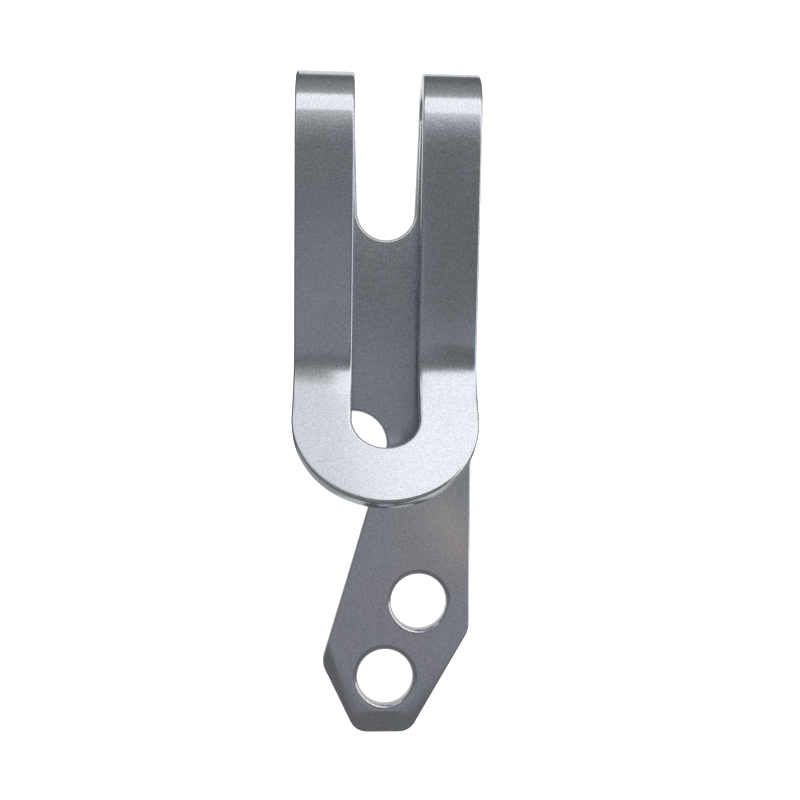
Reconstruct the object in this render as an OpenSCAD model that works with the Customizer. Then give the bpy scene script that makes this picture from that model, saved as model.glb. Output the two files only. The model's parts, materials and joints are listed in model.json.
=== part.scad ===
// Money clip with a key-ring tail, formed from one strip of spring stainless sheet.
// It lies on its back: +Y runs along the clip towards the fold, +Z points out of
// the back plate towards the flared front lip, and +X points to the right.
// Origin: middle of the outline, on the plane of the back face.

/* [Sheet] */
// Thickness of the sheet
sheet_t = 1.6; // [1.2:0.1:2]
// Width of the clip
clip_w = 19.05; // [17:0.05:22]
// Length from the top of the fold to the end of the tail
clip_len = 70.5; // [69:0.5:74]

/* [Fold and arms] */
// Inner radius of the fold
fold_r = 2.6; // [2.2:0.1:3.4]
// Angle by which the arms lean towards the back plate
arm_slope = 6.5; // [4:0.5:7]
// Length of each arm from the fold to the kink
arm_len = 26.9; // [24:0.1:28]
// Width of the slot between the two arms
slot_w = 6.9; // [6:0.1:8]

/* [Kink and lip] */
// Radius of the kink on its hollow front face
kink_r = 5; // [3:0.5:6]
// Angle of the lip to the back plate
lip_angle = 32; // [20:1:40]
// Length of the lip from the kink to its round end
lip_len = 14.8; // [14.5:0.1:18]

/* [Back plate] */
// Width of the back slot at its round end
back_slot_w = 6.3; // [5:0.1:6.9]
// Distance from the fold axis to the centre of the slot's round end
back_slot_len = 9.6; // [6:0.1:14]
// Radius of the hook notch
notch_r = 3.7; // [3:0.1:4]
// Sideways place of the notch centre
notch_x = -3.3; // [-3.6:0.1:-3]
// Lengthwise place of the notch centre
notch_y = -3.95; // [-4.5:0.05:-3.5]

/* [Tail] */
// Radius of the two key-ring holes
hole_r = 3; // [2:0.1:3.2]
// Lengthwise place of the left shoulder
left_shoulder_y = -27.6; // [-28.5:0.1:-27]
// Lengthwise place of the right shoulder
right_shoulder_y = -24; // [-25:0.1:-23]
// Width of the blunt tip
tip_w = 5.8; // [5:0.1:7]
// Sideways offset of the blunt tip
tip_x = 0.25; // [0:0.05:0.5]
// Angle of the ground facets round the tip
facet_angle = 13; // [8:1:16]

/* [Hidden] */
$fn = 96;

half_w = clip_w / 2;
arm_w = (clip_w - slot_w) / 2;
fold_out_r = fold_r + sheet_t;
fold_y = clip_len / 2 - fold_out_r;
tip_y = -clip_len / 2;
split_y = notch_y - 1.55;

// The kink turns the sheet from the arm's slope to the lip's angle.
kink_angle = arm_slope + lip_angle;
kink_tangent = kink_r * tan(kink_angle / 2);
arm_flat = arm_len - kink_tangent;
lip_flat = lip_len - kink_tangent - half_w;

// The tail narrows on the left, from beside the notch to the left shoulder.
left_shoulder_x = -6.53;
left_edge_top = [notch_x + notch_r, notch_y];
left_edge_run = (left_edge_top.x - left_shoulder_x) / (left_edge_top.y - left_shoulder_y);
function left_edge_x(y) = left_edge_top.x + (y - left_edge_top.y) * left_edge_run;

// Key-ring holes
upper_hole = [4, -20.95];
lower_hole = [0.42, -29.15];

// Radii of the tail's corners
shoulder_r = 2.5;
tip_r = 2;
corner_steps = 8;
kink_steps = 16;

steel = [0.62, 0.63, 0.65];
steel_dark = [0.52, 0.53, 0.56];
steel_light = [0.74, 0.75, 0.77];
cut_margin = 1;

// Points of an arc of radius r that rounds the corner p between points before and after.
function unit(v) = v / norm(v);
function corner_arc(before, p, after, r) =
    let (
        u = unit(before - p),
        v = unit(after - p),
        half = acos(u * v) / 2,
        centre = p + unit(u + v) * r / sin(half),
        from = p + u * r / tan(half) - centre,
        to = p + v * r / tan(half) - centre,
        a0 = atan2(from.y, from.x),
        turn = atan2(from.x * to.y - from.y * to.x, from * to)
    )
    [for (i = [0:corner_steps])
        centre + r * [cos(a0 + turn * i / corner_steps), sin(a0 + turn * i / corner_steps)]];

// Moves its children into the frame of the leaning arms, whose origin is the fold axis.
module on_arm() {
    translate([0, fold_y, fold_out_r]) rotate([arm_slope, 0, 0]) children();
}

// Moves its children to the axis of the kink, on the frame of the arms.
module on_kink() {
    on_arm() translate([0, -arm_flat, fold_out_r + kink_r]) children();
}

// A bend of the sheet about the X axis, starting straight below the axis and turning to +Y.
module bend(inner_r, angle, x, width) {
    translate([x, 0, 0])
        rotate([0, 90, 0])
            rotate_extrude(angle = angle, $fn = 180)
                translate([inner_r, 0]) square([sheet_t, width]);
}

// The sheet's slot in the back plate, narrowing a little towards its round end.
module back_slot() {
    end_y = fold_y - back_slot_len;
    mouth_y = fold_y + cut_margin;
    translate([0, end_y]) circle(d = back_slot_w);
    polygon([
        [-back_slot_w / 2, end_y], [back_slot_w / 2, end_y],
        [slot_w / 2, fold_y], [slot_w / 2, mouth_y],
        [-slot_w / 2, mouth_y], [-slot_w / 2, fold_y]
    ]);
}

// Flat back plate with the slot at the top and the hook notch at the lower left.
module back_plate() {
    hook_w = half_w + notch_x - notch_r;
    color(steel_dark)
        linear_extrude(sheet_t)
            difference() {
                union() {
                    translate([-half_w, notch_y]) square([clip_w, fold_y - notch_y]);
                    translate([-half_w + hook_w / 2, notch_y]) circle(d = hook_w);
                    polygon([
                        left_edge_top + [0, cut_margin], left_edge_top,
                        [left_edge_x(split_y), split_y], [half_w, split_y],
                        [half_w, notch_y + cut_margin]
                    ]);
                }
                translate([notch_x, notch_y]) circle(r = notch_r);
                back_slot();
            }
}

// Everything above a plane that falls away to the right of the line from a to b.
module facet_cut(a, b) {
    length = 40;
    depth = 12;
    translate([a.x, a.y, sheet_t])
        rotate([0, 0, atan2(b.y - a.y, b.x - a.x)])
            rotate([facet_angle, 0, 0])
                translate([-length / 2, -depth, 0]) cube([length, depth, 2 * sheet_t]);
}

// Tail with two key-ring holes and a blunt tip with three ground facets.
module key_tail() {
    top_left = [left_edge_x(split_y), split_y];
    top_right = [half_w, split_y];
    right_shoulder = [half_w, right_shoulder_y];
    left_shoulder = [left_shoulder_x, left_shoulder_y];
    tip_right = [tip_x + tip_w / 2, tip_y];
    tip_left = [tip_x - tip_w / 2, tip_y];
    color(steel)
        difference() {
            linear_extrude(sheet_t)
                polygon(concat(
                    [top_left, top_right],
                    corner_arc(top_right, right_shoulder, tip_right, shoulder_r),
                    corner_arc(right_shoulder, tip_right, tip_left, tip_r),
                    corner_arc(tip_right, tip_left, left_shoulder, tip_r),
                    corner_arc(tip_left, left_shoulder, top_left, shoulder_r)
                ));
            for (hole = [upper_hole, lower_hole])
                translate([hole.x, hole.y, -cut_margin])
                    cylinder(r = hole_r, h = sheet_t + 2 * cut_margin);
            facet_cut([-5.43, -25.5], [-3, -31.75]);
            facet_cut([4.3, -30.95], [7.4, -27.05]);
            facet_cut([-3, tip_y + 2.5], [3, tip_y + 2.5]);
        }
}

// One side of the fold, which carries the sheet round into an arm.
module fold(x) {
    color(steel_light)
        translate([0, fold_y, fold_out_r])
            bend(fold_r, 180 + arm_slope, x, arm_w);
}

module left_fold() {
    fold(-half_w);
}

module right_fold() {
    fold(slot_w / 2);
}

// Side profile of an arm, in the frame of the arms: straight, then round the kink.
function kink_point(r, angle) =
    [-arm_flat - r * sin(angle), fold_out_r + kink_r - r * cos(angle)];
arm_profile = concat(
    [[0, fold_out_r], [0, fold_r]],
    [for (i = [0:kink_steps]) kink_point(kink_r + sheet_t, kink_angle * i / kink_steps)],
    [for (i = [kink_steps:-1:0]) kink_point(kink_r, kink_angle * i / kink_steps)]
);

// One straight arm with its part of the kink.
module arm(x) {
    color(steel)
        on_arm()
            translate([x, 0, 0])
                rotate([90, 0, 90])
                    linear_extrude(arm_w) polygon(arm_profile);
}

module left_arm() {
    arm(-half_w);
}

module right_arm() {
    arm(slot_w / 2);
}

// Flared U-shaped lip that joins the two arms.
module lip() {
    color(steel_light)
        on_kink()
            rotate([-kink_angle, 0, 0])
                translate([0, 0, -kink_r - sheet_t])
                    linear_extrude(sheet_t)
                        difference() {
                            union() {
                                translate([-half_w, -lip_flat]) square([clip_w, lip_flat]);
                                intersection() {
                                    translate([0, -lip_flat]) circle(r = half_w);
                                    translate([-half_w, -lip_len]) square([clip_w, lip_len]);
                                }
                            }
                            translate([0, -lip_flat]) circle(d = slot_w);
                            translate([-slot_w / 2, -lip_flat])
                                square([slot_w, lip_flat + cut_margin]);
                        }
}

back_plate();
key_tail();
left_fold();
right_fold();
left_arm();
right_arm();
lip();
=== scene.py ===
"""Builds the looks of a one-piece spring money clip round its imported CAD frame."""

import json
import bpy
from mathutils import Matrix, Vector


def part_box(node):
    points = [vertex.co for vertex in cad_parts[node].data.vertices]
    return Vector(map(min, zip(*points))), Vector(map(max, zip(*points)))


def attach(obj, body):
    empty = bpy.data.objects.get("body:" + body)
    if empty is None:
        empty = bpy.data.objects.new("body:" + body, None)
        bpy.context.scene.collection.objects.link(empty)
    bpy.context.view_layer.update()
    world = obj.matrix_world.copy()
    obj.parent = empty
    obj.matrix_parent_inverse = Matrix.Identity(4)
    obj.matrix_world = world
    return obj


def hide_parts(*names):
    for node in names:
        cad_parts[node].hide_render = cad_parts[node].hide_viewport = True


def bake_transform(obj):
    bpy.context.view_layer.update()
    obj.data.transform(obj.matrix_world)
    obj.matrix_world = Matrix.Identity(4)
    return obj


bl_info = {
    "name": "Money Clip",
    "version": (1, 0, 0),
    "blender": (4, 5, 0),
    "location": "View3D > Sidebar > Money Clip",
    "description": "Models a folded spring-steel money clip with a key-ring tail",
    "category": "Add Mesh",
}

from math import atan2, cos, pi, radians, sin, tan

import bmesh
import bpy
from bpy.props import FloatProperty, FloatVectorProperty, IntProperty, PointerProperty
from mathutils import Matrix, Vector

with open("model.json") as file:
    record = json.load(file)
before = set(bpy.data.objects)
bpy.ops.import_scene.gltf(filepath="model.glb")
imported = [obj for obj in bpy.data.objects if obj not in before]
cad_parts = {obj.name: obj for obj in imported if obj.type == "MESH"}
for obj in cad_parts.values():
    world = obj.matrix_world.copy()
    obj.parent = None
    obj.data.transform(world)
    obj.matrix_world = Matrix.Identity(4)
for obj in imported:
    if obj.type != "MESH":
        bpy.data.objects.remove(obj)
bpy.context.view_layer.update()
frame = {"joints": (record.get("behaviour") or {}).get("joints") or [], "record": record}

MM = 0.001
CATEGORY = "Money Clip"

# Places that the frame already knows.
PLATE_LOW, PLATE_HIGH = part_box("back_plate")
HINGE = Vector(frame["joints"][0]["pos_m"])
BORES = [mount for mount in frame["record"]["mounts"] if mount["kind"] == "bore"]
HOLES = [Vector(bore["pos_m"]) for bore in BORES]
HOLE_RADIUS = min(bore["dims"]["r_mm"] for bore in BORES) * MM

HALF_WIDTH = PLATE_HIGH.x
SHEET = PLATE_HIGH.z - PLATE_LOW.z
FOLD_Y = HINGE.y
FOLD_OUTER = HINGE.z
FOLD_INNER = FOLD_OUTER - SHEET
HALF_SLOT = -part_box("left_fold")[1].x
ARM_WIDTH = HALF_WIDTH - HALF_SLOT
SPLIT_Y = PLATE_LOW.y
TIP_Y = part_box("key_tail")[0].y

# Steps that keep the swept sections smooth, from the fold to the lip's round end.
STRIPS_ACROSS = 14
FOLD_STEPS = 120
TOP_STEPS = 3
CREASE_STEPS = 8
SOFT_BEND_STEPS = 20
ARM_STEPS = 40
KINK_STEPS = 36
LIP_SIDE_STEPS = 14
LIP_END_STEPS = 72

# Steps of the round stretches of the flat plates.
SLOT_END_STEPS = 48
HOOK_STEPS = 24
NOTCH_STEPS = 56
CORNER_STEPS = 14
HOLE_STEPS = 96
FLARE_STEPS = 12

# Corners closer than this are one corner, and edges sharper than this stay crisp.
TOUCHING = 0.001 * MM
CRISP_ANGLE = radians(35)

# Scale of the marks in the steel, in waves per millimetre.
SPECKLE_SCALE = 2.6
CLOUD_SCALE = 0.22
# Patches of the painted reflection tint: a mirrored colour cast put into the steel's colour.
REFLECTION_TINT_PATCH_SCALE = 0.17
BRUSH_SCALES = (0.5, 9.0, 9.0)
BUMP_HEIGHT = 0.006 * MM

# The painted reflection tint grows towards the tail, from this lengthwise place and over this
# length (mm).
TINT_START_Y = -8.0
TINT_FADE = 14.0

# Where the stage's cards stand, in millimetres, and the tone of a plain card.
CARDS_Z = 87
REAR_Y = 38
MIRRORED_FLOOR_Z = -0.03
CARD_WHITE = (0.98, 0.99, 1.0)


# ---------------------------------------------------------------- properties


class ClipSizes(bpy.types.PropertyGroup):
    """Sizes of the folded and flared parts of the sheet."""

    top_length: FloatProperty(
        name="Flat top",
        description="Length of the flat top between the fold and the crease",
        default=0.78 * MM,
        subtype="DISTANCE",
    )
    crease_angle: FloatProperty(
        name="Crease angle",
        description="Turn of the short bend where the fold's top ends",
        default=radians(3),
        subtype="ANGLE",
    )
    crease_length: FloatProperty(
        name="Crease length",
        description="Length of the short bend where the fold's top ends",
        default=0.3 * MM,
        subtype="DISTANCE",
    )
    soft_length: FloatProperty(
        name="Soft bend",
        description="Length of the gentle bend between the crease and each arm",
        default=3.5 * MM,
        subtype="DISTANCE",
    )
    arm_slope: FloatProperty(
        name="Arm slope",
        description="Lean of the arms towards the back plate",
        default=radians(7),
        subtype="ANGLE",
    )
    arm_length: FloatProperty(
        name="Arm length",
        description="From the end of the soft bend to the corner of the kink",
        default=22.80 * MM,
        subtype="DISTANCE",
    )
    kink_radius: FloatProperty(
        name="Kink radius",
        description="Radius of the kink on its hollow front face",
        default=9 * MM,
        subtype="DISTANCE",
    )
    lip_angle: FloatProperty(
        name="Lip angle",
        description="Angle of the flared lip to the back plate",
        default=radians(32),
        subtype="ANGLE",
    )
    lip_length: FloatProperty(
        name="Lip length",
        description="From the corner of the kink to the round end",
        default=14.92 * MM,
        subtype="DISTANCE",
    )
    crown: FloatProperty(
        name="Kink crown",
        description="How far the edges of the arms curl back at the kink",
        default=0.12 * MM,
        subtype="DISTANCE",
    )
    rim: FloatProperty(
        name="Rim radius",
        description="Radius of the tumbled edges of the sheet",
        default=0.28 * MM,
        subtype="DISTANCE",
    )
    rim_steps: IntProperty(
        name="Rim steps",
        description="Facets across one rounded edge",
        default=5,
        min=2,
        max=8,
    )


class PlateSizes(bpy.types.PropertyGroup):
    """Sizes of the back plate's slot and notch."""

    slot_end_radius: FloatProperty(
        name="Slot end radius",
        description="Radius of the back slot's round end",
        default=3.15 * MM,
        subtype="DISTANCE",
    )
    slot_depth: FloatProperty(
        name="Slot depth",
        description="From the fold's axis to the centre of the slot's round end",
        default=9.6 * MM,
        subtype="DISTANCE",
    )
    notch_radius: FloatProperty(
        name="Notch radius",
        description="Radius of the hook notch",
        default=3.7 * MM,
        subtype="DISTANCE",
    )
    notch_centre: FloatVectorProperty(
        name="Notch centre",
        description="Centre of the hook notch",
        size=2,
        default=(-3.3 * MM, -3.95 * MM),
        subtype="XYZ_LENGTH",
    )


class TailSizes(bpy.types.PropertyGroup):
    """Sizes of the key-ring tail."""

    left_shoulder: FloatVectorProperty(
        name="Left shoulder",
        description="Corner where the tail is widest on the left",
        size=2,
        default=(-6.53 * MM, -27.6 * MM),
        subtype="XYZ_LENGTH",
    )
    right_shoulder_y: FloatProperty(
        name="Right shoulder",
        description="Lengthwise place of the right corner",
        default=-24 * MM,
        subtype="DISTANCE",
    )
    tip_width: FloatProperty(
        name="Tip width", description="Width of the blunt tip", default=5.8 * MM, subtype="DISTANCE"
    )
    tip_x: FloatProperty(
        name="Tip offset",
        description="Sideways place of the tip's middle",
        default=0.25 * MM,
        subtype="DISTANCE",
    )
    shoulder_radius: FloatProperty(
        name="Shoulder radius",
        description="Rounding of the two shoulders",
        default=2.5 * MM,
        subtype="DISTANCE",
    )
    tip_radius: FloatProperty(
        name="Tip radius",
        description="Rounding of the tip's two corners",
        default=2 * MM,
        subtype="DISTANCE",
    )
    facet_angle: FloatProperty(
        name="Facet angle",
        description="Fall of the ground facets round the tip",
        default=radians(13),
        subtype="ANGLE",
    )
    flare: FloatProperty(
        name="Hole flare",
        description="Width of the soft rim round each key-ring hole",
        default=0.75 * MM,
        subtype="DISTANCE",
    )
    flare_depth: FloatProperty(
        name="Flare depth",
        description="Depth of the soft rim round each key-ring hole",
        default=0.48 * MM,
        subtype="DISTANCE",
    )


class SteelFinish(bpy.types.PropertyGroup):
    """Colour and texture of the tumbled steel."""

    colour: FloatVectorProperty(
        name="Steel colour",
        description="Main colour of the steel",
        size=3,
        default=(0.545, 0.575, 0.605),
        subtype="COLOR",
    )
    # Painted reflection: the faint colour cast that the tail mirrors, put into the steel's colour.
    painted_reflection_tint: FloatVectorProperty(
        name="Painted reflection tint",
        description="Faint straw-brown cast, a painted reflection in the steel's colour",
        size=3,
        default=(0.585, 0.55, 0.60),
        subtype="COLOR",
    )
    roughness: FloatProperty(
        name="Roughness", description="Mean roughness of the satin", default=0.185, min=0, max=1
    )
    grain: FloatProperty(
        name="Grain size",
        description="Size of the tumbled grain",
        default=0.15 * MM,
        subtype="DISTANCE",
    )


class StageSettings(bpy.types.PropertyGroup):
    """Camera, floor and studio lights."""

    camera_place: FloatVectorProperty(
        name="Camera place",
        description="Where the camera stands",
        size=3,
        default=(-3.059 * MM, 1.081 * MM, 101.3 * MM),
        subtype="XYZ_LENGTH",
    )
    camera_yaw: FloatProperty(
        name="Camera yaw", description="Turn about Y", default=-0.048, subtype="ANGLE"
    )
    camera_pitch: FloatProperty(
        name="Camera pitch", description="Turn about X", default=-0.001, subtype="ANGLE"
    )
    camera_roll: FloatProperty(
        name="Camera roll",
        description="Turn about the line of sight",
        default=0.011,
        subtype="ANGLE",
    )
    lens_mm: FloatProperty(name="Lens", description="Focal length", default=41.46)
    room_light: FloatVectorProperty(
        name="Room light",
        description="Soft white light from all round",
        size=3,
        default=(1.5, 1.5, 1.5),
    )
    overhead: FloatVectorProperty(
        name="Overhead card",
        description="Light of the card above, from the tail's far end to the fold",
        size=4,
        default=(0.19, 0.33, 0.32, 0.21),
    )
    overhead_colour: FloatVectorProperty(
        name="Overhead colour",
        description="Colour of the light from the cards above",
        size=3,
        default=(0.945, 0.99, 1.046),
    )
    side_card: FloatProperty(
        name="Side cards",
        description="Light of the cards at the left and at the tail",
        default=0.22,
    )
    flag: FloatProperty(
        name="Flag", description="Light of the dark flag behind the fold", default=0.20
    )
    far_floor: FloatProperty(
        name="Mirrored far floor", description="Light of the floor far from the clip", default=0.15
    )
    near_floor: FloatVectorProperty(
        name="Mirrored near floor",
        description="Light of the floor in the steel: at the tip, holes, middle and fold",
        size=4,
        default=(0.15, 0.75, 0.3, 1.0),
    )
    floor_colour: FloatVectorProperty(
        name="Floor colour",
        description="Colour of the pale floor",
        size=3,
        default=(0.93, 0.93, 0.93),
        subtype="COLOR",
    )


# ------------------------------------------------------------- small helpers


def clear_selection():
    """Leaves object mode with nothing selected."""
    if bpy.context.object and bpy.context.object.mode != "OBJECT":
        bpy.ops.object.mode_set(mode="OBJECT")
    bpy.ops.object.select_all(action="DESELECT")


def choose(piece):
    clear_selection()
    piece.select_set(True)
    bpy.context.view_layer.objects.active = piece


def edit(piece, mode="VERT"):
    """Opens a piece in edit mode with nothing selected."""
    choose(piece)
    bpy.ops.object.mode_set(mode="EDIT")
    bpy.ops.mesh.select_mode(type=mode)
    bpy.ops.mesh.select_all(action="DESELECT")


def select_edges(piece, wanted):
    """Selects the edges for which wanted(edge) is true; the piece is in edge mode."""
    mesh = bmesh.from_edit_mesh(piece.data)
    mesh.normal_update()
    for edge in mesh.edges:
        edge.select_set(wanted(edge))
    mesh.select_flush_mode()
    bmesh.update_edit_mesh(piece.data)


def push(move):
    """Extrudes the selection along a vector."""
    bpy.ops.mesh.extrude_region_move(TRANSFORM_OT_translate={"value": tuple(move)})


def turn(angle, centre, axis, steps):
    """Spins the selection about an axis; a short first and last step keep the ends true."""
    short = radians(0.25) * (1 if angle > 0 else -1)
    for part, count in ((short, 1), (angle - 2 * short, steps), (short, 1)):
        bpy.ops.mesh.spin(steps=count, angle=-part, center=tuple(centre), axis=tuple(axis))


def close_mesh(piece):
    """Merges doubles, fills open ends and turns every face outwards."""
    bpy.ops.mesh.select_all(action="SELECT")
    bpy.ops.mesh.remove_doubles(threshold=TOUCHING / 2)
    bpy.ops.mesh.select_all(action="DESELECT")
    bpy.ops.mesh.select_non_manifold(
        extend=False,
        use_wire=False,
        use_multi_face=False,
        use_non_contiguous=False,
        use_verts=False,
    )
    bpy.ops.mesh.fill_holes(sides=0)
    bpy.ops.mesh.select_all(action="SELECT")
    bpy.ops.mesh.normals_make_consistent(inside=False)
    bpy.ops.object.mode_set(mode="OBJECT")


def place(piece, matrix):
    """Moves a piece to its place and puts the place in its mesh."""
    choose(piece)
    piece.matrix_world = matrix
    bpy.ops.object.transform_apply(location=True, rotation=True, scale=True)


def apply_modifier(piece, kind, **settings):
    choose(piece)
    modifier = piece.modifiers.new(kind.title(), kind)
    for name, value in settings.items():
        setattr(modifier, name, value)
    bpy.ops.object.modifier_apply(modifier=modifier.name)


def finish_piece(piece, node, body):
    """Smooths a piece, gives it the steel, hides its CAD node and, when a body is given, ties it to
    that body.
    """
    choose(piece)
    bpy.ops.object.shade_smooth_by_angle(angle=CRISP_ANGLE)
    apply_modifier(piece, "WEIGHTED_NORMAL", mode="FACE_AREA", weight=100, keep_sharp=True)
    piece.data.materials.clear()
    piece.data.materials.append(steel_material())
    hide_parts(node)
    if body:
        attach(piece, body)
    return piece


# ------------------------------------------------------------------- steel


class Signal:
    """A shader socket that Python arithmetic turns into Math nodes."""

    def __init__(self, tree, socket):
        self.tree = tree
        self.socket = socket

    def _math(self, operation, first, second):
        return self.tree.node(
            "ShaderNodeMath", {"operation": operation}, {0: first, 1: second}
        ).out(0)

    def __add__(self, other):
        return self._math("ADD", self, other)

    def __radd__(self, other):
        return self._math("ADD", other, self)

    def __sub__(self, other):
        return self._math("SUBTRACT", self, other)

    def __mul__(self, other):
        return self._math("MULTIPLY", self, other)

    def __rmul__(self, other):
        return self._math("MULTIPLY", other, self)

    def __truediv__(self, other):
        return self._math("DIVIDE", self, other)

    def clamped(self):
        return self.tree.node(
            "ShaderNodeClamp", {}, {"Value": self, "Min": 0.0, "Max": 1.0}
        ).out(0)


class NodeHandle:
    """A node whose outputs come out as signals."""

    def __init__(self, tree, node):
        self.tree = tree
        self.node = node

    def out(self, key):
        return Signal(self.tree, self.node.outputs[key])


class ShaderTree:
    """Adds nodes to a material's tree by type, settings and inputs."""

    def __init__(self, material):
        material.use_nodes = True
        self.tree = material.node_tree
        self.tree.nodes.clear()

    def node(self, kind, settings, inputs):
        node = self.tree.nodes.new(kind)
        for name, value in settings.items():
            setattr(node, name, value)
        for key, value in inputs.items():
            if isinstance(value, Signal):
                self.tree.links.new(value.socket, node.inputs[key])
            else:
                node.inputs[key].default_value = value
        return NodeHandle(self, node)

    def noise(self, point, scale, detail=2.0, roughness=0.5):
        """Noise from 0 to 1 at a point, with a number of waves per unit."""
        return self.node(
            "ShaderNodeTexNoise",
            {"noise_dimensions": "3D"},
            {"Vector": point, "Scale": scale, "Detail": detail, "Roughness": roughness},
        ).out("Fac")

    def mix_colours(self, factor, first, second, blend="MIX"):
        return self.node(
            "ShaderNodeMix",
            {"data_type": "RGBA", "blend_type": blend},
            {0: factor, 6: first, 7: second},
        ).out(2)


def steel_material():
    """Tumbled satin stainless steel, shared by every section of the sheet."""
    ready = bpy.data.materials.get("satin_steel_finish")
    if ready:
        return ready
    finish = bpy.context.scene.money_clip_steel
    material = bpy.data.materials.new("satin_steel_finish")
    tree = ShaderTree(material)
    metres = tree.node("ShaderNodeTexCoord", {}, {}).out("Object")
    point = tree.node(
        "ShaderNodeVectorMath", {"operation": "SCALE"}, {0: metres, "Scale": 1 / MM}
    ).out(0)
    brushed = tree.node(
        "ShaderNodeVectorMath", {"operation": "MULTIPLY"}, {0: point, 1: BRUSH_SCALES}
    ).out(0)

    grain = tree.noise(point, MM / finish.grain, detail=2.0, roughness=0.6)
    speckle = tree.noise(point, SPECKLE_SCALE, detail=3.0, roughness=0.7)
    clouds = tree.noise(point, CLOUD_SCALE, detail=3.0)
    reflection_tint_patches = tree.noise(point, REFLECTION_TINT_PATCH_SCALE, detail=2.0)
    lines = tree.noise(brushed, 1.0, detail=2.0)

    # Painted reflection tint: a faint mirrored colour cast, painted into the steel's colour in
    # patches and growing towards the tail.
    lengthwise = tree.node("ShaderNodeSeparateXYZ", {}, {0: point}).out(1)
    towards_tail = ((lengthwise - TINT_START_Y) / -TINT_FADE).clamped()
    painted_reflection_share = (0.35 + (reflection_tint_patches - 0.40) * 3.0).clamped() * (0.15 + 0.85 * towards_tail)
    steel = tree.mix_colours(painted_reflection_share, (*finish.colour, 1), (*finish.painted_reflection_tint, 1))
    lightness = 1.0 + 0.85 * (grain - 0.5) + 0.22 * (speckle - 0.5) + 0.10 * (clouds - 0.5)
    shade = tree.node(
        "ShaderNodeCombineColor", {}, {0: lightness, 1: lightness, 2: lightness}
    ).out(0)
    colour = tree.mix_colours(1.0, steel, shade, blend="MULTIPLY")

    roughness = finish.roughness + 0.06 * (clouds - 0.5) + 0.12 * (grain - 0.5)
    bump = tree.node(
        "ShaderNodeBump",
        {},
        {
            "Strength": 0.2,
            "Distance": BUMP_HEIGHT,
            "Height": grain * 0.3 + speckle * 0.5 + lines * 0.6,
        },
    ).out("Normal")
    surface = tree.node(
        "ShaderNodeBsdfPrincipled",
        {},
        {"Base Color": colour, "Roughness": roughness, "Normal": bump, "Metallic": 1.0},
    ).out(0)
    tree.node("ShaderNodeOutputMaterial", {}, {"Surface": surface})
    return material


# ------------------------------------------------------- swept sheet sections


def rounded_section(name):
    """Starts a piece as the sheet's cut end, one arm wide, with its corners rounded."""
    sizes = bpy.context.scene.money_clip_sizes
    clear_selection()
    bpy.ops.mesh.primitive_grid_add(
        x_subdivisions=STRIPS_ACROSS,
        y_subdivisions=1,
        size=1,
        location=(ARM_WIDTH / 2, 0, SHEET / 2),
        rotation=(pi / 2, 0, 0),
    )
    piece = bpy.context.object
    piece.name = name
    piece.data.name = name
    piece.scale = (ARM_WIDTH, SHEET, 1)
    bpy.ops.object.transform_apply(location=True, rotation=True, scale=True)
    edit(piece)
    mesh = bmesh.from_edit_mesh(piece.data)
    for corner in mesh.verts:
        corner.select_set(len(corner.link_edges) == 2)
    mesh.select_flush_mode()
    bmesh.update_edit_mesh(piece.data)
    bpy.ops.mesh.bevel(
        offset_type="OFFSET",
        offset=sizes.rim,
        segments=sizes.rim_steps,
        affect="VERTICES",
        profile=0.5,
    )
    bpy.ops.mesh.select_all(action="SELECT")
    return piece


def run(here, distance, steps):
    """Sweeps the section straight on along its own -Y and gives its new place."""
    stride = Vector((0, -distance / steps, 0))
    for _ in range(steps):
        push(here.to_3x3() @ stride)
        here = here @ Matrix.Translation(stride)
    return here


def bent_place(here, angle, height):
    """A place turned about its own X axis at a height above the sheet's back face."""
    up = Matrix.Translation((0, 0, height))
    return here @ up @ Matrix.Rotation(angle, 4, "X") @ up.inverted()


def bend(here, angle, height, steps):
    """Sweeps the section round a bend and gives its new place."""
    turn(angle, here @ Vector((0, 0, height)), (1, 0, 0), steps)
    return bent_place(here, angle, height)


def arm_path():
    """Start, bends (angle, height) behind the arm, straight, kink and the lip's leg."""
    sizes = bpy.context.scene.money_clip_sizes
    start = Matrix.Translation(HINGE + Vector((0, -sizes.top_length, FOLD_INNER)))
    crease = sizes.crease_angle
    soft = sizes.arm_slope - crease
    kink = sizes.arm_slope + sizes.lip_angle
    tangent = sizes.kink_radius * tan(kink / 2)
    straight = sizes.arm_length - tangent
    return (
        start,
        (
            (crease, SHEET - sizes.crease_length / crease),
            (soft, SHEET - sizes.soft_length / soft),
        ),
        straight,
        (-kink, SHEET + sizes.kink_radius),
        sizes.lip_length - tangent - HALF_WIDTH,
    )


def crown(piece, kink_place, legs):
    """Curls the edges of each leg back across the kink, as a bent strip does by itself."""
    sizes = bpy.context.scene.money_clip_sizes
    _, _, _, (kink, height), lip_leg = arm_path()
    half_arc = -kink * (height - SHEET / 2) / 2
    reach = half_arc + lip_leg
    inverse = kink_place.inverted()
    for corner in piece.data.vertices:
        local = inverse @ corner.co
        middle = min(legs, key=lambda leg: abs(local.x - leg))
        if abs(local.x - middle) > ARM_WIDTH / 2 + 10 * TOUCHING:
            continue
        if local.y > 0:
            angle = 0
            along = -local.y
        else:
            angle = min(atan2(-local.y, height - local.z), -kink)
            past = bent_place(Matrix(), -angle, height).inverted() @ local
            along = angle * (height - SHEET / 2) + max(0, -past.y)
        away = (along - half_arc) / reach
        if abs(away) >= 1:
            continue
        share = cos(away * pi / 2) ** 2 * ((local.x - middle) / (ARM_WIDTH / 2)) ** 2
        outwards = Vector((0, sin(angle), cos(angle)))
        corner.co -= kink_place.to_3x3() @ outwards * sizes.crown * share


def make_fold(name, x):
    """One side of the fold, bent round from the back plate to its arm."""
    piece = rounded_section(name)
    turn(pi, (0, 0, FOLD_OUTER), (1, 0, 0), FOLD_STEPS)
    close_mesh(piece)
    place(piece, Matrix.Translation((x, FOLD_Y, 0)))
    return piece


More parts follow.
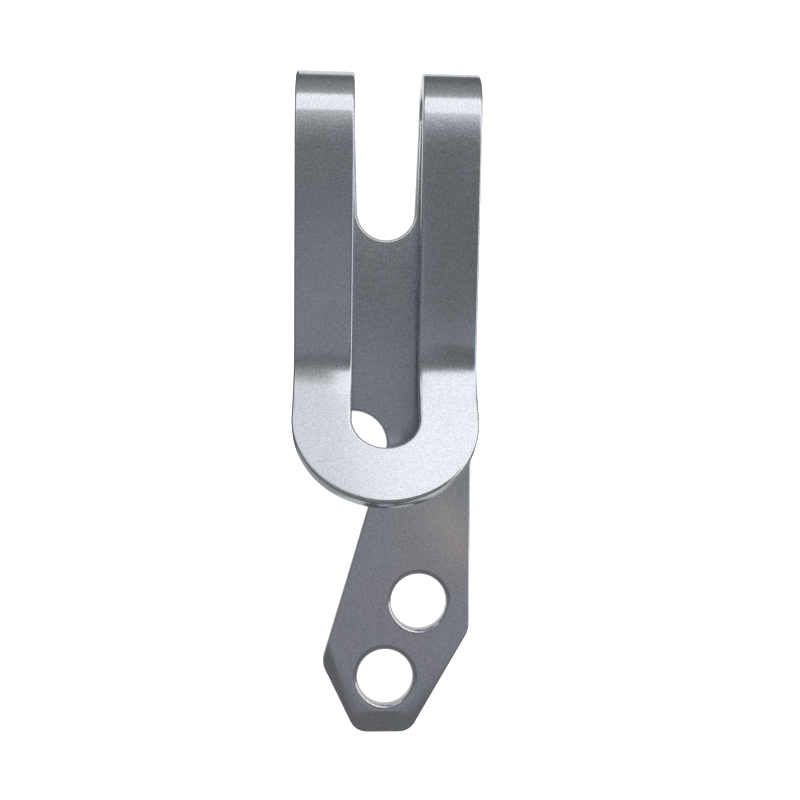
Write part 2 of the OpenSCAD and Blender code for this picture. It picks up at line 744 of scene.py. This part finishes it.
def make_arm(name, x):
    """One arm with the fold's flat top, the gentle bends behind it and its kink."""
    sizes = bpy.context.scene.money_clip_sizes
    start, (crease, soft), straight, kink, _ = arm_path()
    piece = rounded_section(name)
    bpy.ops.transform.translate(value=(0, sizes.top_length, 0))
    here = run(Matrix.Translation((0, sizes.top_length, 0)), sizes.top_length, TOP_STEPS)
    here = bend(here, *crease, CREASE_STEPS)
    here = bend(here, *soft, SOFT_BEND_STEPS)
    kink_place = run(here, straight, ARM_STEPS)
    bend(kink_place, *kink, KINK_STEPS)
    close_mesh(piece)
    crown(piece, kink_place, (ARM_WIDTH / 2,))
    place(piece, start @ Matrix.Translation((x, 0, 0)))
    return piece


def make_lip(name):
    """The flared U: down one side, round the end and up the other side."""
    start, (crease, soft), straight, kink, lip_leg = arm_path()
    kink_place = bent_place(bent_place(Matrix(), *crease), *soft)
    kink_place = kink_place @ Matrix.Translation((0, -straight, 0))
    lip_place = bent_place(kink_place, *kink)
    piece = rounded_section(name)
    run(Matrix(), lip_leg, LIP_SIDE_STEPS)
    turn(pi, (HALF_WIDTH, -lip_leg, 0), (0, 0, 1), LIP_END_STEPS)
    run(Matrix(), -lip_leg, LIP_SIDE_STEPS)
    close_mesh(piece)
    place(piece, lip_place)
    crown(piece, kink_place, (ARM_WIDTH / 2, 2 * HALF_WIDTH - ARM_WIDTH / 2))
    place(piece, start @ Matrix.Translation((-HALF_WIDTH, 0, 0)))
    return piece


# ---------------------------------------------------------------- flat plates


def left_edge_x(y):
    """Left edge of the tail, a slanted line from beside the notch to the left shoulder."""
    plate = bpy.context.scene.money_clip_plate
    tail = bpy.context.scene.money_clip_tail
    top_x = plate.notch_centre[0] + plate.notch_radius
    top_y = plate.notch_centre[1]
    slant = (top_x - tail.left_shoulder[0]) / (top_y - tail.left_shoulder[1])
    return top_x + (y - top_y) * slant


def rounded_corner(before, corner, after, radius):
    """Moves that bring an outline round a convex corner, going anticlockwise."""
    back = (Vector(before) - Vector(corner)).normalized()
    ahead = (Vector(after) - Vector(corner)).normalized()
    half = back.angle(ahead) / 2
    centre = Vector(corner) + (back + ahead).normalized() * radius / sin(half)
    start = Vector(corner) + back * radius / tan(half)
    return [("to", start), ("round", centre, pi - 2 * half, CORNER_STEPS)]


def make_plate(name, start, moves):
    """Draws an outline edge by edge, fills it and raises it to the sheet's thickness."""
    clear_selection()
    bpy.ops.mesh.primitive_plane_add(size=SHEET)
    piece = bpy.context.object
    piece.name = name
    piece.data.name = name
    edit(piece)
    bpy.ops.mesh.select_all(action="SELECT")
    bpy.ops.mesh.merge(type="CENTER")
    bpy.ops.transform.translate(value=(start[0], start[1], 0))
    here = Vector(start)
    for move in moves:
        if move[0] == "to":
            step = Vector(move[1]) - here
            push((step.x, step.y, 0))
            here = Vector(move[1])
        else:
            _, centre, angle, steps = move
            bpy.ops.mesh.spin(
                steps=steps, angle=-angle, center=(centre[0], centre[1], 0), axis=(0, 0, 1)
            )
            here = Vector(centre) + Matrix.Rotation(angle, 2) @ (here - Vector(centre))
    bpy.ops.mesh.select_all(action="SELECT")
    bpy.ops.mesh.remove_doubles(threshold=TOUCHING)
    bpy.ops.mesh.select_all(action="SELECT")
    bpy.ops.mesh.edge_face_add()
    push((0, 0, SHEET))
    bpy.ops.mesh.select_all(action="SELECT")
    bpy.ops.mesh.normals_make_consistent(inside=False)
    return piece


def round_outer_rims(piece, seams):
    """Rounds the top and bottom edges of a plate, except those on its seams (values of y)."""
    sizes = bpy.context.scene.money_clip_sizes
    shortest_edge = 0.06 * MM

    def is_rim(edge):
        if len(edge.link_faces) != 2:
            return False
        upright, level = sorted(abs(face.normal.z) for face in edge.link_faces)
        on_seam = any(
            all(abs(corner.co.y - seam) < TOUCHING for corner in edge.verts) for seam in seams
        )
        return upright < 0.1 and level > 0.9 and not on_seam

    edit(piece, "EDGE")
    bpy.ops.mesh.select_all(action="SELECT")
    bpy.ops.mesh.remove_doubles(threshold=shortest_edge)
    select_edges(piece, is_rim)
    bpy.ops.mesh.bevel(
        offset_type="OFFSET",
        offset=sizes.rim,
        segments=sizes.rim_steps,
        affect="EDGES",
        profile=0.5,
        clamp_overlap=False,
        loop_slide=False,
    )
    bpy.ops.object.mode_set(mode="OBJECT")


def make_back_plate():
    plate = bpy.context.scene.money_clip_plate
    slot_end = Vector((0, FOLD_Y - plate.slot_depth))
    notch = Vector(plate.notch_centre)
    hook_radius = (HALF_WIDTH + notch.x - plate.notch_radius) / 2
    moves = [
        ("to", (HALF_WIDTH, FOLD_Y)),
        ("to", (HALF_SLOT, FOLD_Y)),
        ("to", (plate.slot_end_radius, slot_end.y)),
        ("round", slot_end, -pi, SLOT_END_STEPS),
        ("to", (-HALF_SLOT, FOLD_Y)),
        ("to", (-HALF_WIDTH, FOLD_Y)),
        ("to", (-HALF_WIDTH, notch.y)),
        ("round", (-HALF_WIDTH + hook_radius, notch.y), pi, HOOK_STEPS),
        ("round", notch, -pi, NOTCH_STEPS),
        ("to", (left_edge_x(SPLIT_Y), SPLIT_Y)),
    ]
    piece = make_plate("back_plate_sheet", (HALF_WIDTH, SPLIT_Y), moves)
    round_outer_rims(piece, (SPLIT_Y, FOLD_Y))
    return piece


# Ridge lines of the ground facets, anticlockwise: left of the holes, along the tip, on the right.
FACET_RIDGES = (
    ((-5.43 * MM, -25.5 * MM), (-3 * MM, -31.75 * MM)),
    ((-3 * MM, TIP_Y + 2.5 * MM), (3 * MM, TIP_Y + 2.5 * MM)),
    ((4.3 * MM, -30.95 * MM), (7.4 * MM, -27.05 * MM)),
)


def score(piece, point, across):
    """Cuts an edge line right through a plate where an upright plane passes."""
    edit(piece)
    bpy.ops.mesh.select_all(action="SELECT")
    bpy.ops.mesh.bisect(plane_co=(point[0], point[1], 0), plane_no=(across[0], across[1], 0))
    bpy.ops.object.mode_set(mode="OBJECT")


def grind_facets(piece, ridges):
    """Lowers the front face evenly from each ridge line, to its right, in flat facets."""
    sizes = bpy.context.scene.money_clip_sizes
    tail = bpy.context.scene.money_clip_tail
    facets = []
    for a, b in ridges:
        along = (Vector(b) - Vector(a)).normalized()
        facets.append((Vector(a), Vector((along.y, -along.x))))
        score(piece, a, facets[-1][1])
    for (point, right), (next_point, next_right) in zip(facets, facets[1:]):
        apart = right - next_right
        level = right.dot(point) - next_right.dot(next_point)
        score(piece, apart * level / apart.length_squared, apart)
    fall = tan(tail.facet_angle)
    for corner in piece.data.vertices:
        if corner.co.z > SHEET - sizes.rim - TOUCHING:
            deepest = max(right.dot(corner.co.xy - point) for point, right in facets)
            corner.co.z -= max(0, deepest) * fall


def make_hole_cutter(centre):
    """A spool-shaped tool: straight in the middle and flaring at both faces of the sheet.

    The flare ends a hair past each face, so that the cut meets no face edge-on.
    """
    tail = bpy.context.scene.money_clip_tail
    lift = 0.006 * MM
    flare = []
    for i in range(FLARE_STEPS + 1):
        angle = i / FLARE_STEPS * pi / 2
        flare.append(
            (
                HOLE_RADIUS + tail.flare * (1 - cos(angle)),
                SHEET / 2 - tail.flare_depth * (1 - sin(angle)) + lift,
            )
        )
    top = flare + [(flare[-1][0] + lift, SHEET)]
    profile = [(r, -z) for r, z in reversed(top)] + top
    clear_selection()
    bpy.ops.mesh.primitive_plane_add(size=SHEET)
    cutter = bpy.context.object
    edit(cutter)
    bpy.ops.mesh.select_all(action="SELECT")
    bpy.ops.mesh.merge(type="CENTER")
    bpy.ops.transform.translate(value=(profile[0][0], 0, profile[0][1]))
    for (r0, z0), (r1, z1) in zip(profile, profile[1:]):
        push((r1 - r0, 0, z1 - z0))
    bpy.ops.mesh.select_all(action="SELECT")
    bpy.ops.mesh.spin(steps=HOLE_STEPS, angle=2 * pi, center=(0, 0, 0), axis=(0, 0, 1))
    close_mesh(cutter)
    place(cutter, Matrix.Translation((centre.x, centre.y, SHEET / 2)))
    return cutter


def cut(piece, cutter):
    apply_modifier(piece, "BOOLEAN", operation="DIFFERENCE", solver="EXACT", object=cutter)
    clear_selection()
    cutter.select_set(True)
    bpy.ops.object.delete()


def make_key_tail():
    tail = bpy.context.scene.money_clip_tail
    top_left = (left_edge_x(SPLIT_Y), SPLIT_Y)
    top_right = (HALF_WIDTH, SPLIT_Y)
    left_shoulder = tuple(tail.left_shoulder)
    right_shoulder = (HALF_WIDTH, tail.right_shoulder_y)
    tip_left = (tail.tip_x - tail.tip_width / 2, TIP_Y)
    tip_right = (tail.tip_x + tail.tip_width / 2, TIP_Y)
    moves = [
        *rounded_corner(top_left, left_shoulder, tip_left, tail.shoulder_radius),
        *rounded_corner(left_shoulder, tip_left, tip_right, tail.tip_radius),
        *rounded_corner(tip_left, tip_right, right_shoulder, tail.tip_radius),
        *rounded_corner(tip_right, right_shoulder, top_right, tail.shoulder_radius),
        ("to", top_right),
    ]
    piece = make_plate("key_tail_sheet", top_left, moves)
    round_outer_rims(piece, (SPLIT_Y,))
    grind_facets(piece, FACET_RIDGES)
    for hole in HOLES:
        cut(piece, make_hole_cutter(hole))
    return piece


# ------------------------------------------------------------------ operators


class MONEYCLIP_OT_back_plate(bpy.types.Operator):
    """Adds the flat back plate with its slot and hook notch"""

    bl_idname = "money_clip.back_plate"
    bl_label = "Back Plate"

    def execute(self, context):
        finish_piece(make_back_plate(), "back_plate", "back")
        return {"FINISHED"}


class MONEYCLIP_OT_key_tail(bpy.types.Operator):
    """Adds the tail with two key-ring holes and a ground tip"""

    bl_idname = "money_clip.key_tail"
    bl_label = "Key Tail"

    def execute(self, context):
        finish_piece(make_key_tail(), "key_tail", "back")
        return {"FINISHED"}


class MONEYCLIP_OT_folds(bpy.types.Operator):
    """Adds the two sides of the fold, each bent round from the back plate to its arm"""

    bl_idname = "money_clip.folds"
    bl_label = "Folds"

    def execute(self, context):
        for side, x in (("left", -HALF_WIDTH), ("right", HALF_SLOT)):
            piece = finish_piece(make_fold(f"{side}_fold_sheet", x), f"{side}_fold", None)
            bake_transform(piece)
        return {"FINISHED"}


class MONEYCLIP_OT_arms(bpy.types.Operator):
    """Adds the two front arms with their kinks"""

    bl_idname = "money_clip.arms"
    bl_label = "Arms"

    def execute(self, context):
        for side, x in (("left", -HALF_WIDTH), ("right", HALF_SLOT)):
            finish_piece(make_arm(f"{side}_arm_sheet", x), f"{side}_arm", "front")
        return {"FINISHED"}


class MONEYCLIP_OT_lip(bpy.types.Operator):
    """Adds the flared lip that joins the arms"""

    bl_idname = "money_clip.lip"
    bl_label = "Lip"

    def execute(self, context):
        finish_piece(make_lip("lip_sheet"), "lip", "front")
        return {"FINISHED"}


class MONEYCLIP_OT_stage(bpy.types.Operator):
    """Adds the floor, the studio lights and the camera"""

    bl_idname = "money_clip.stage"
    bl_label = "Stage"

    def execute(self, context):
        settings = context.scene.money_clip_stage
        add_floor(settings)
        add_room(settings)
        add_cards_above(settings)
        add_cards_around(settings)
        add_mirrored_floors(settings)
        add_camera(settings)
        return {"FINISHED"}


# ---------------------------------------------------------------------- stage


def add_floor(settings):
    """A pale matt floor that glows a little, so that its soft shadows stay light."""
    clear_selection()
    floor_size = 1600 * MM
    below_clip = -0.05 * MM
    bpy.ops.mesh.primitive_plane_add(size=floor_size, location=(0, 0, below_clip))
    floor = bpy.context.object
    floor.name = "floor"
    material = bpy.data.materials.new("pale_floor")
    tree = ShaderTree(material)
    surface = tree.node(
        "ShaderNodeBsdfPrincipled",
        {},
        {
            "Base Color": (*settings.floor_colour, 1),
            "Roughness": 0.9,
            "Specular IOR Level": 0.1,
            "Emission Color": (*settings.floor_colour, 1),
            "Emission Strength": 0.55,
        },
    ).out(0)
    tree.node("ShaderNodeOutputMaterial", {}, {"Surface": surface})
    floor.data.materials.append(material)


def glow_material(name, stops, colour, axis):
    """Soft light for a card: one strength, or strengths at places (mm) along an axis."""
    material = bpy.data.materials.new(name)
    tree = ShaderTree(material)
    strength = stops[0][1]
    if len(stops) > 1:
        metres = tree.node("ShaderNodeTexCoord", {}, {}).out("Object")
        along = tree.node("ShaderNodeSeparateXYZ", {}, {0: metres}).out(axis)
        for (low, light0), (high, light1) in zip(stops, stops[1:]):
            share = ((along - low * MM) / ((high - low) * MM)).clamped()
            strength = strength + share * (light1 - light0)
    glow = tree.node(
        "ShaderNodeEmission", {}, {"Color": (*colour, 1), "Strength": strength}
    ).out(0)
    tree.node("ShaderNodeOutputMaterial", {}, {"Surface": glow})
    return material


def in_metres(point):
    return Vector([value * MM for value in point])


def add_card(name, low, high, stops, colour=CARD_WHITE, axis=1, pivot=None, turned=0):
    """A card between two corners (mm), turned about an upright line through its pivot.

    It shows in reflections only: neither the camera nor diffuse light sees it.
    """
    middle = in_metres(low).lerp(in_metres(high), 0.5)
    pivot = in_metres(pivot) if pivot else middle
    clear_selection()
    bpy.ops.mesh.primitive_cube_add(size=1, location=middle - pivot)
    card = bpy.context.object
    card.name = name
    card.scale = in_metres(high) - in_metres(low)
    bpy.ops.object.transform_apply(location=True, rotation=True, scale=True)
    place(card, Matrix.Translation(pivot) @ Matrix.Rotation(turned, 4, "Z"))
    card.data.materials.append(glow_material(f"{name}_glow", stops, colour, axis))
    card.visible_camera = False
    card.visible_diffuse = False
    card.visible_shadow = False
    card.visible_transmission = False


def add_room(settings):
    """Even white light from all round."""
    world = bpy.data.worlds.new("studio")
    bpy.context.scene.world = world
    world.use_nodes = True
    background = world.node_tree.nodes["Background"]
    background.inputs["Color"].default_value = (*settings.room_light, 1)


def add_cards_above(settings):
    """The cards over the clip, which the flat faces mirror."""
    colour = settings.overhead_colour
    far, tail, middle, fold = settings.overhead
    add_card(
        "overhead_card",
        (-150, -250, CARDS_Z),
        (140, 46, CARDS_Z + 1),
        [(-92, far), (-55, tail), (8, middle), (24, fold), (34, 0.25), (40, 0.33), (46, 0.55)],
        colour=colour,
        pivot=(0, 46, CARDS_Z),
        turned=radians(-4),
    )
    add_card(
        "overhead_right_card",
        (7.5, -4, CARDS_Z - 2),
        (60, 36, CARDS_Z - 1),
        [(0, fold)],
        colour=colour,
    )
    add_card(
        "straw_card",
        (13.5, -33, CARDS_Z - 2),
        (19.5, -17, CARDS_Z - 1),
        [(0, 1)],
        colour=(0.60, 0.53, 0.45),
        turned=radians(35),
    )
    add_card(
        "tail_left_shade", (-150, -250, CARDS_Z - 2), (-25, -50, CARDS_Z - 1), [(0, 0.18)]
    )


def add_cards_around(settings):
    """The upright cards round the clip, which the bends and the rims mirror."""
    rear_stops = [(41, 1.0), (46, 0.78), (52, 0.62), (60, 0.46), (77, 0.40), (84, 0.33)]
    add_card(
        "rear_left_card",
        (-60, REAR_Y, 41),
        (-3.4, REAR_Y + 0.2, CARDS_Z - 3),
        rear_stops,
        axis=2,
    )
    side_stops = [(0, settings.side_card)]
    add_card("tail_right_card", (110, -131, 0), (111, -45, CARDS_Z), side_stops)
    add_card("left_card", (-91, -200, 0), (-90, 60, CARDS_Z), side_stops)
    add_card("tail_card", (-90, -131, 0), (110, -130, CARDS_Z), side_stops)
    add_card("soft_card", (-220, 150, 30), (-2, 151, 165), [(0, 1.1)])
    flag_stops = [(7.5, settings.flag), (9, 0.29), (12, 0.37), (16.5, 0.6)]
    add_card("flag_left", (-60, REAR_Y, 5.6), (0, REAR_Y + 0.2, 17.2), flag_stops, axis=2)
    add_card("flag_right", (0, REAR_Y, 4.6), (60, REAR_Y + 0.2, 17.9), flag_stops, axis=2)


def add_mirrored_floors(settings):
    """Thin cards on the floor, which set how bright the steel mirrors it."""
    top = MIRRORED_FLOOR_Z + 0.005
    add_card(
        "mirrored_far_floor",
        (-400, -400, MIRRORED_FLOOR_Z - 0.01),
        (400, 400, top - 0.01),
        [(0, settings.far_floor)],
    )
    add_card("mirrored_lip_floor", (-40, -40, MIRRORED_FLOOR_Z), (-11, -6, top), [(0, 0.45)])
    tip, holes, middle, fold = settings.near_floor
    add_card(
        "mirrored_near_floor",
        (-11, -60, MIRRORED_FLOOR_Z),
        (200, 110, top),
        [(-36, tip), (-32, holes), (-18, holes), (-12, middle), (18, middle), (30, fold)],
    )


def add_camera(settings):
    clear_selection()
    turned = (
        Matrix.Rotation(settings.camera_yaw, 3, "Y")
        @ Matrix.Rotation(settings.camera_pitch, 3, "X")
        @ Matrix.Rotation(settings.camera_roll, 3, "Z")
    )
    bpy.ops.object.camera_add(location=settings.camera_place, rotation=turned.to_euler())
    camera = bpy.context.object
    camera.data.sensor_width = 36
    camera.data.lens = settings.lens_mm
    camera.data.clip_start = MM
    camera.data.clip_end = 10
    bpy.context.scene.camera = camera


# ------------------------------------------------------------------ interface


class MONEYCLIP_PT_panel(bpy.types.Panel):
    """Lists the pieces of the money clip"""

    bl_idname = "MONEYCLIP_PT_panel"
    bl_label = "Money Clip"
    bl_space_type = "VIEW_3D"
    bl_region_type = "UI"
    bl_category = CATEGORY

    def draw(self, context):
        for operator in OPERATORS:
            self.layout.operator(operator.bl_idname)


GROUPS = {
    "money_clip_sizes": ClipSizes,
    "money_clip_plate": PlateSizes,
    "money_clip_tail": TailSizes,
    "money_clip_steel": SteelFinish,
    "money_clip_stage": StageSettings,
}
OPERATORS = (
    MONEYCLIP_OT_back_plate,
    MONEYCLIP_OT_key_tail,
    MONEYCLIP_OT_folds,
    MONEYCLIP_OT_arms,
    MONEYCLIP_OT_lip,
    MONEYCLIP_OT_stage,
)


def register():
    for group in GROUPS.values():
        bpy.utils.register_class(group)
    for name, group in GROUPS.items():
        setattr(bpy.types.Scene, name, PointerProperty(type=group))
    for cls in (*OPERATORS, MONEYCLIP_PT_panel):
        bpy.utils.register_class(cls)


def unregister():
    for cls in reversed((*OPERATORS, MONEYCLIP_PT_panel)):
        bpy.utils.unregister_class(cls)
    for name, group in reversed(GROUPS.items()):
        delattr(bpy.types.Scene, name)
        bpy.utils.unregister_class(group)


def main():
    register()
    bpy.context.scene.view_settings.view_transform = "Standard"
    bpy.ops.money_clip.back_plate()
    bpy.ops.money_clip.key_tail()
    bpy.ops.money_clip.folds()
    bpy.ops.money_clip.arms()
    bpy.ops.money_clip.lip()
    bpy.ops.money_clip.stage()


if __name__ == "__main__":
    main()
